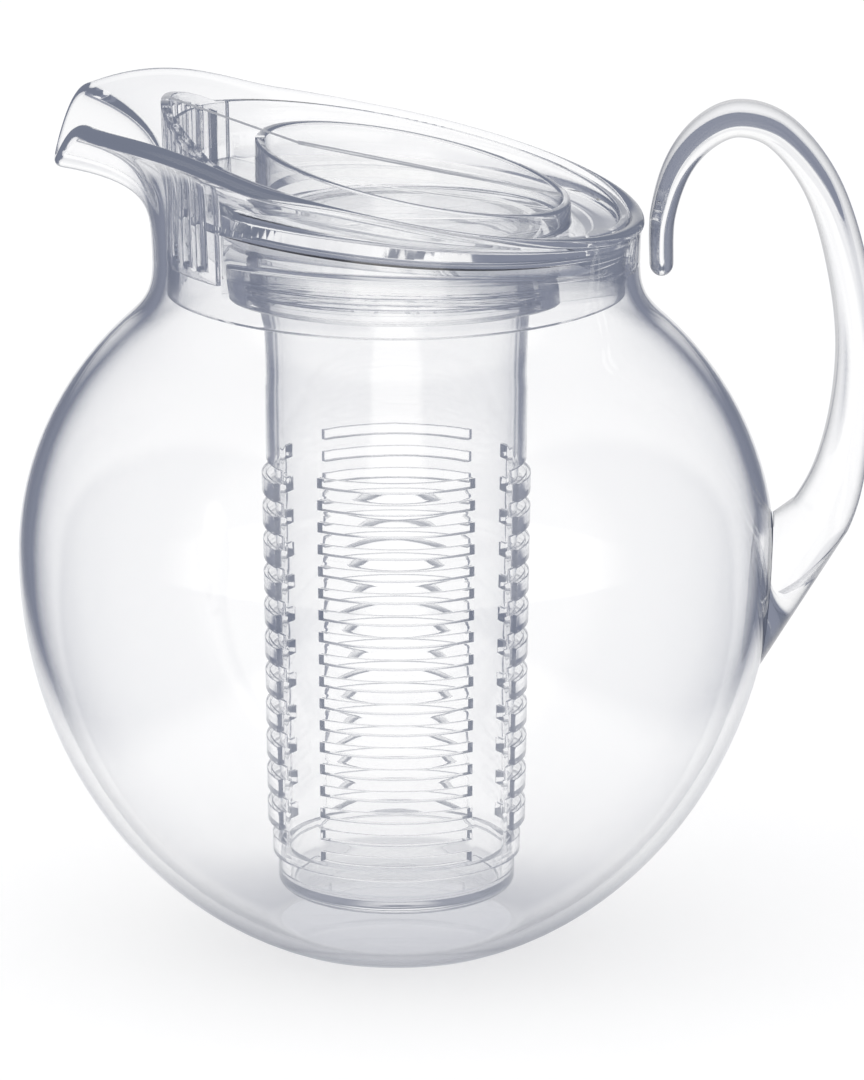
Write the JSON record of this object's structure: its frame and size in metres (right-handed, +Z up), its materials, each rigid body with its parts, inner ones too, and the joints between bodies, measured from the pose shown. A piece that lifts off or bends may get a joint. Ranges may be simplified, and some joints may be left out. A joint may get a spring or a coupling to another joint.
{
  "type": "fruit infuser pitcher",
  "caption": "Clear globe pitcher with an open hook handle, a lift-out lid with a slotted pour guard, and a slotted infuser tube that screws into the lid.",
  "frame": {"origin": "centre of the flat underside, on the globe's axis", "axes": "+Z up along the globe's axis, -X towards the spout, +X towards the handle"},
  "size_m": [0.2048, 0.1804, 0.2073],
  "materials": {
    "clear_acrylic": "clear polished acrylic",
    "lid_acrylic": "clear moulded acrylic",
    "infuser_acrylic": "clear moulded acrylic"
  },
  "bodies": {
    "jug": {"jug_body": "clear_acrylic", "handle": "clear_acrylic"},
    "lid": {"lid_body": "lid_acrylic", "pour_guard": "lid_acrylic", "lid_grip": "lid_acrylic", "infuser_cap": "lid_acrylic"},
    "infuser": {"infuser_collar": "infuser_acrylic", "infuser_tube": "infuser_acrylic", "infuser_base": "infuser_acrylic"}
  },
  "joints": [
    {"name": "lid_lift", "type": "slide", "parent": "jug", "child": "lid", "axis": [0, 0, 1], "range_m": [0, 0.2]},
    {"name": "infuser_turn", "type": "hinge", "parent": "lid", "child": "infuser", "pos_m": [0, 0, 0.168], "axis": [0, 0, 1], "range_deg": [0, 540]}
  ]
}
